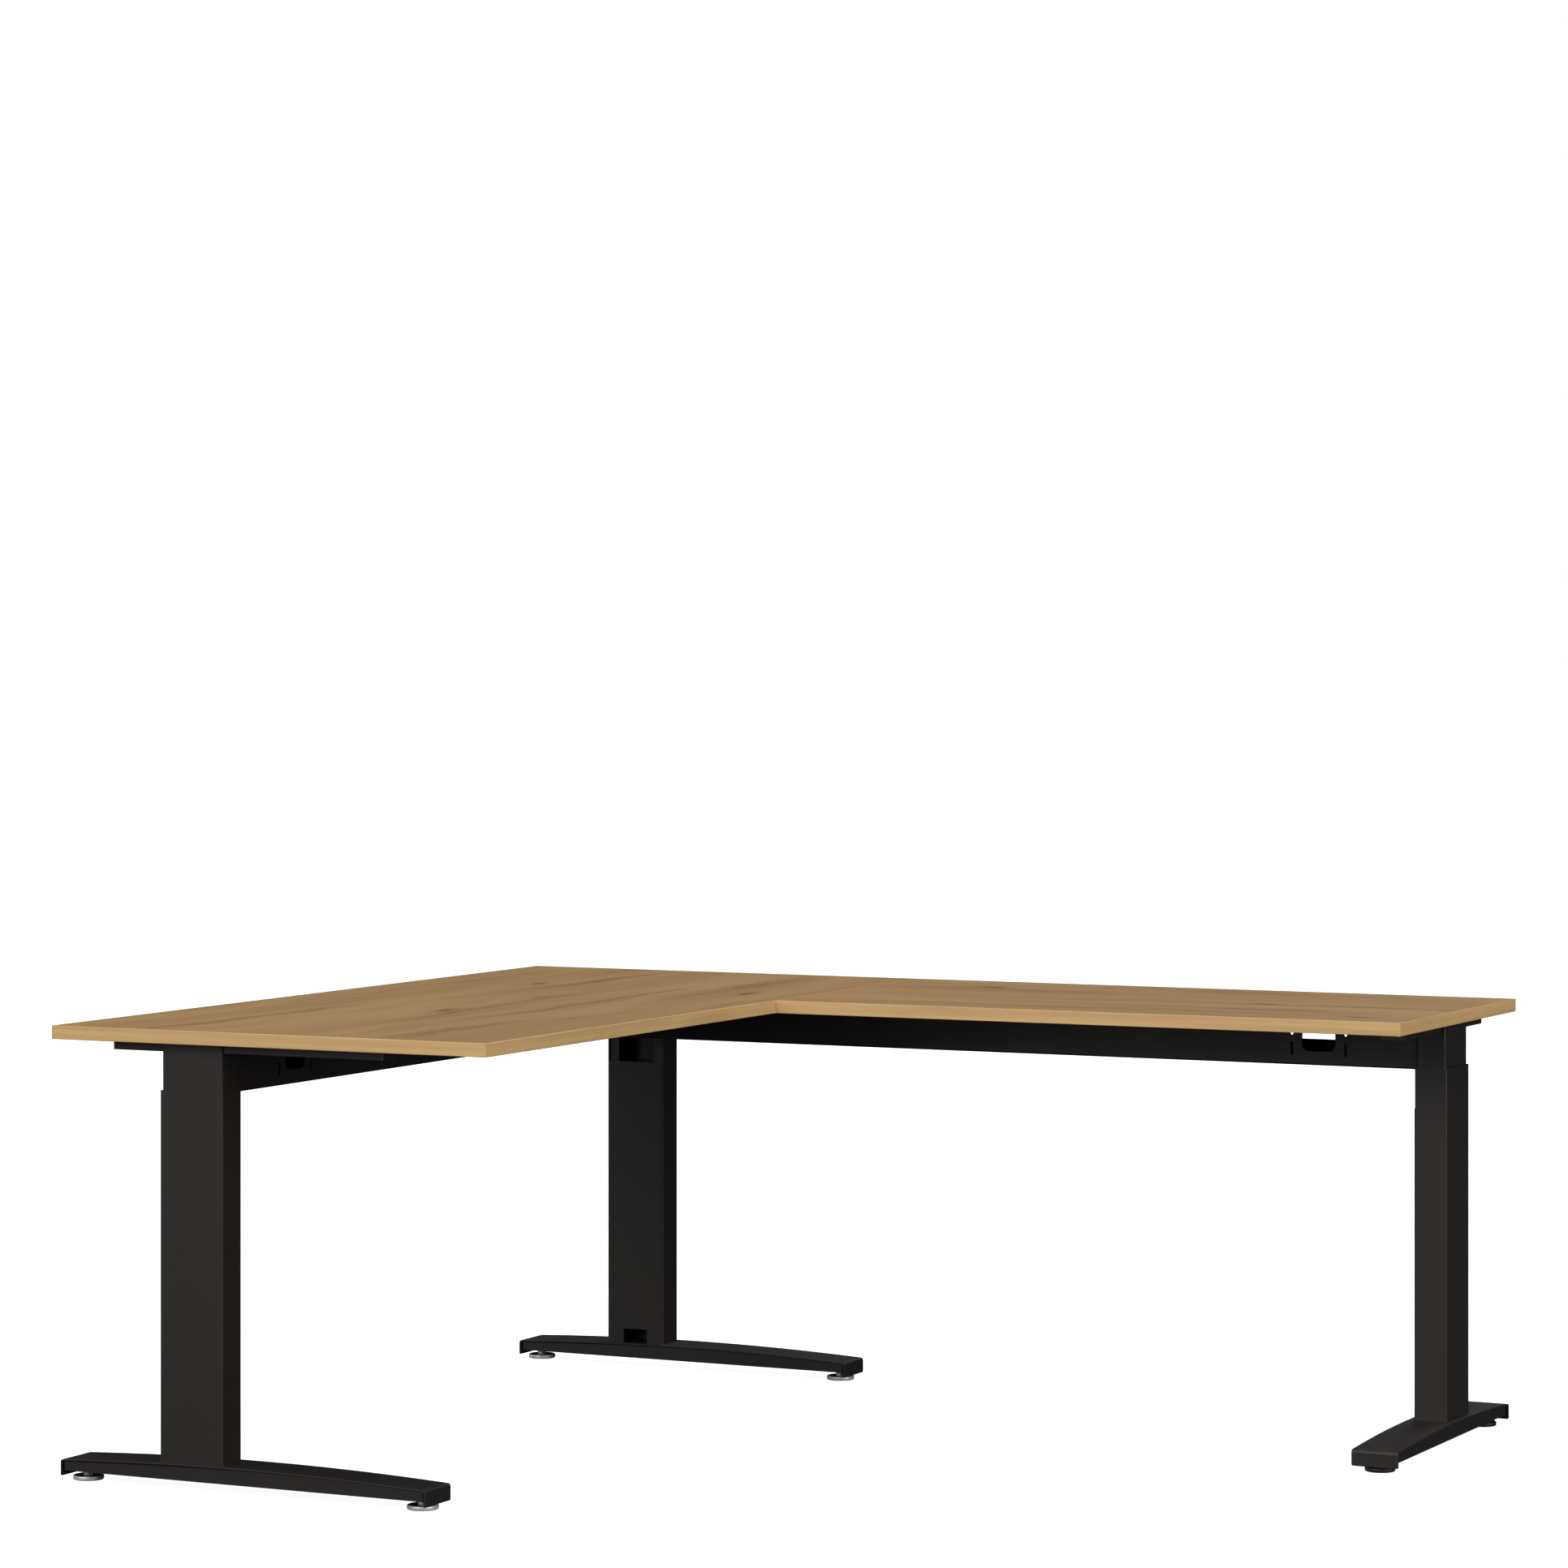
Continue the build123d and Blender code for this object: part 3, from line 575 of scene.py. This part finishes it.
for leg in LEGS:
    # Painted shade: the return leg's chrome discs get the black coat, because they stand in shade.
    painted_shade_disc = leg == "return_leg"
    disc_material = powder if painted_shade_disc else chrome_material
    for end in ENDS:
        node = f"{leg}_pad_{end}"
        body = f"{leg}_foot_{end}"
        centre = middle(node)
        low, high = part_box(node)
        radius = (high.x - low.x) / 2
        dish = high.z - DISH_DEPTH
        disc_grid = turned(pad_profile(radius, high.z), centre)
        disc = skin(f"{leg}_{end}_disc", disc_grid, disc_material)
        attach(disc, body)
        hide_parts(node)

        cup_radius = radius - CUP_INSET - DISH_CORNER
        cup_grid = turned(cup_profile(cup_radius, dish, high.z - CUP_BELOW_RIM), centre)
        cup = skin(f"{leg}_{end}_cup", cup_grid, plastic_material)
        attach(cup, body)

        sole_grid = turned(sole_profile(radius - SOLE_INSET, DISC_BOTTOM + SOLE_OVERLAP), centre)
        sole = skin(f"{leg}_{end}_rubber_sole", sole_grid, rubber_material)
        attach(sole, body)
print("made", len(LEGS) * len(ENDS), "levelling pads")

# %% [markdown]
# ## Threaded studs
# A screw thread is a ridge that climbs one pitch for each turn. On the grid, the ridge's height
# depends on z / pitch - angle / full turn, taken as a triangle wave, and it fades at both ends.
# Under the boss sits a hexagon collar, which a spanner turns: its radius follows the cosine rule of
# a regular hexagon, and a cone trims its corners as on a real nut.

# %% The studs and their collars
THREAD_PITCH = 1.5 * MM
THREAD_DEPTH = 0.75 * MM
STUD_RADIUS = 4.95 * MM
STUD_TIP = 1.2 * MM
STUD_CENTRE = 0.1 * MM
COLLAR_FLAT = 7.3 * MM
COLLAR_BEVEL = 0.9 * MM
COLLAR_LOW = 6.0 * MM
COLLAR_HIGH = 12.0 * MM


def thread_ripple(low, high):
    """A triangle wave in z / pitch - angle / turn, faded in over one pitch at each end."""

    def ripple(turn, height):
        phase = (height / THREAD_PITCH - turn / (2 * np.pi)) % 1.0
        ridge = np.abs(phase * 2 - 1)
        fade = np.clip(np.minimum(height - low, high - height) / THREAD_PITCH, 0, 1)
        return -THREAD_DEPTH * ridge * fade

    return ripple


def hexagon_grid(centre, flat_radius, low, high, segments=96):
    """A hexagon prism: r(a) = flat / cos(a mod 60 - 30), cut by a cone at both ends."""
    angle = np.linspace(0, 2 * np.pi, segments, endpoint=False)
    wedge = np.mod(angle, np.pi / 3) - np.pi / 6
    hexagon = flat_radius / np.cos(wedge)
    heights = np.array([low, low, low + COLLAR_BEVEL, high - COLLAR_BEVEL, high, high])
    caps = np.array([0.02, 0.96, 1.2, 1.2, 0.96, 0.02]) * flat_radius
    radius = np.minimum(hexagon[None, :], caps[:, None])
    x = radius * np.cos(angle)
    y = radius * np.sin(angle)
    z = np.repeat(heights[:, None], segments, axis=1)
    grid = np.stack([x, y, z], -1)
    return grid + np.array([centre[0], centre[1], 0.0])


def stud_grid(centre, radius, low, high):
    """A lathe surface of one radius, tapered at its tip, whose ripple is the thread."""
    rows = int((high - low) / (THREAD_PITCH / 8))
    heights = np.linspace(low, high, rows)
    tip = np.clip((high - heights) / STUD_TIP, 0.75, 1.0)
    profile = np.stack([radius * tip, heights], -1)
    profile = np.vstack([[STUD_CENTRE, low], profile, [STUD_CENTRE, high]])
    return turned(profile, centre, 48, thread_ripple(low, high))


for leg in LEGS:
    for end in ENDS:
        node = f"{leg}_stud_{end}"
        body = f"{leg}_foot_{end}"
        centre = middle(node)
        low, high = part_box(node)
        thread_grid = stud_grid(centre, STUD_RADIUS, low.z, high.z)
        stud = skin(f"{leg}_{end}_threaded_stud", thread_grid, zinc_material)
        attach(stud, body)
        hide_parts(node)

        collar_grid = hexagon_grid(centre, COLLAR_FLAT, COLLAR_LOW, COLLAR_HIGH)
        collar = skin(f"{leg}_{end}_collar", collar_grid, zinc_material, 20.0)
        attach(collar, body)
print("made", len(LEGS) * len(ENDS), "studs with a pitch of", THREAD_PITCH, "m")

# %% [markdown]
# ## Camera
# The desk is seen from the front right, from far off through a long lens. The camera looks level
# and its lens is shifted down a little, as an architect's camera is, which keeps the legs upright.

# %% The camera
CAMERA_PLACE = (3.6233, -7.4488, 1.3594)
CAMERA_TURN = math.radians(26.233)
CAMERA_LENS = 114.4
CAMERA_SENSOR = 36.0
CAMERA_SHIFT_DOWN = -0.0956

camera_data = bpy.data.cameras.new("camera")
camera_data.lens = CAMERA_LENS
camera_data.sensor_width = CAMERA_SENSOR
camera_data.shift_y = CAMERA_SHIFT_DOWN
camera = bpy.data.objects.new("camera", camera_data)
camera.location = CAMERA_PLACE
camera.rotation_euler = (math.pi / 2, 0.0, CAMERA_TURN)
bpy.context.scene.collection.objects.link(camera)
bpy.context.scene.camera = camera
print("camera lens", CAMERA_LENS, "mm")

# %% [markdown]
# ## Studio floor
# A product studio has a pale floor that runs up into a pale background. The floor here is a wide
# disc that shows its own white to the camera and is a dim grey to everything else, so that little
# light comes back up on the black legs. The white grows stronger far out, so no horizon shows.

# %% The floor
FLOOR_RADIUS = 60.0
FLOOR_SEEN = colour(0.5, 0.5, 0.5)
FLOOR_BOUNCE = colour(0.05, 0.05, 0.05)
FLOOR_GLOW = colour(0.93, 0.93, 0.93)
GLOW_NEAR = 2.5
GLOW_FAR = 7.0
WHITE = colour(1.0, 1.0, 1.0)
BLACK = colour(0.0, 0.0, 0.0)


def studio_floor():
    """A disc of rings: r grows along one parameter and the angle is the other."""
    angle = np.linspace(0, 2 * np.pi, 64, endpoint=False)
    radius = np.array([0.05, 1.0, 3.0, 8.0, 20.0, FLOOR_RADIUS])
    x = radius[:, None] * np.cos(angle)
    y = radius[:, None] * np.sin(angle)
    grid = np.stack([x, y, np.zeros_like(x)], -1)
    facing_up = ring_quads(len(radius), len(angle))[:, [0, 3, 2, 1]]
    return add_mesh("studio_floor", grid, facing_up.tolist() + [list(range(len(angle)))])


def floor_finish():
    """White to the eye, but a dim grey to the lamps, so little light comes back up.

    The white's strength grows with sqrt(x^2 + y^2), because the lamps don't reach the far floor.
    """
    pale = Finish("pale_floor", Roughness=0.9, Specular_IOR_Level=0.0, Emission_Strength=1.0)
    ray = pale.node("ShaderNodeLightPath", output="Is Camera Ray")
    pale.set("Base Color", pale.mix(ray, FLOOR_BOUNCE, FLOOR_SEEN))
    place = pale.place()
    x = pale.part(place, "X")
    y = pale.part(place, "Y")
    far = pale.step((x * x + y * y).math("SQRT"), GLOW_NEAR, GLOW_FAR)
    glow = pale.mix(far, FLOOR_GLOW, WHITE)
    pale.set("Emission Color", pale.mix(ray, BLACK, glow))
    return pale.material


floor = studio_floor()
floor.data.materials.append(floor_finish())
print("the floor is", 2 * FLOOR_RADIUS, "m across")

# %% [markdown]
# ## Lamps and background
# Soft square lamps hang on a big dome and all face one point near the middle of the desk's box.
# Each is given by its heading and its elevation, which are easier to judge than a place in space.
# The background gives a little even light, and looks white to the camera.

# %% The lamps and the background
DOME_RADIUS = 12.0
AIM_HEIGHT = 0.4
ROOM_LIGHT = 0.025
ROOM_SEEN = 1.0

# Each lamp is (name, heading, elevation in degrees, size in metres, power in watts).
LAMPS = (
    ("front_lamp", (0.0, -1.0), 27.0, 6.0, 740.0),
    ("low_strip", (-0.34, -0.94), 5.0, 4.0, 190.0),
    ("left_lamp", (-0.44, -0.90), 32.0, 6.0, 400.0),
    ("right_lamp", (1.0, -0.25), 15.0, 6.0, 1160.0),
    ("top_lamp", (0.0, -0.1), 85.0, 8.0, 880.0),
    ("far_lamp", (0.1, 1.0), 55.0, 6.0, 660.0),
    ("back_fill", (-1.0, -0.1), 14.0, 5.0, 600.0),
)


def soft_lamp(name, heading, elevation, size, power):
    """A square lamp R cos e out along its heading and R sin e above the aim, facing the aim."""
    yaw = math.atan2(heading[1], heading[0])
    pitch = math.radians(elevation)
    level = DOME_RADIUS * math.cos(pitch)
    data = bpy.data.lights.new(name, "AREA")
    data.shape = "SQUARE"
    data.size = size
    data.energy = power
    lamp = bpy.data.objects.new(name, data)
    lamp.location = (
        level * math.cos(yaw),
        level * math.sin(yaw),
        AIM_HEIGHT + DOME_RADIUS * math.sin(pitch),
    )
    lamp.rotation_euler = (math.pi / 2 - pitch, 0.0, yaw + math.pi / 2)
    bpy.context.scene.collection.objects.link(lamp)


def background(light, seen):
    """Even light from all round; the eye sees a white background."""
    world = bpy.data.worlds.new("studio")
    bpy.context.scene.world = world
    world.use_nodes = True
    tree = world.node_tree
    tree.nodes.clear()
    out = tree.nodes.new("ShaderNodeOutputWorld")
    ray = tree.nodes.new("ShaderNodeLightPath")
    blend = tree.nodes.new("ShaderNodeMixShader")
    shades = []
    for strength in (light, seen):
        shade = tree.nodes.new("ShaderNodeBackground")
        shade.inputs["Color"].default_value = WHITE
        shade.inputs["Strength"].default_value = strength
        shades.append(shade)
    tree.links.new(ray.outputs["Is Camera Ray"], blend.inputs[0])
    tree.links.new(shades[0].outputs[0], blend.inputs[1])
    tree.links.new(shades[1].outputs[0], blend.inputs[2])
    tree.links.new(blend.outputs[0], out.inputs["Surface"])


for lamp in LAMPS:
    soft_lamp(*lamp)
background(ROOM_LIGHT, ROOM_SEEN)
bpy.context.scene.view_settings.view_transform = "Standard"
print("lit by", len(LAMPS), "lamps")
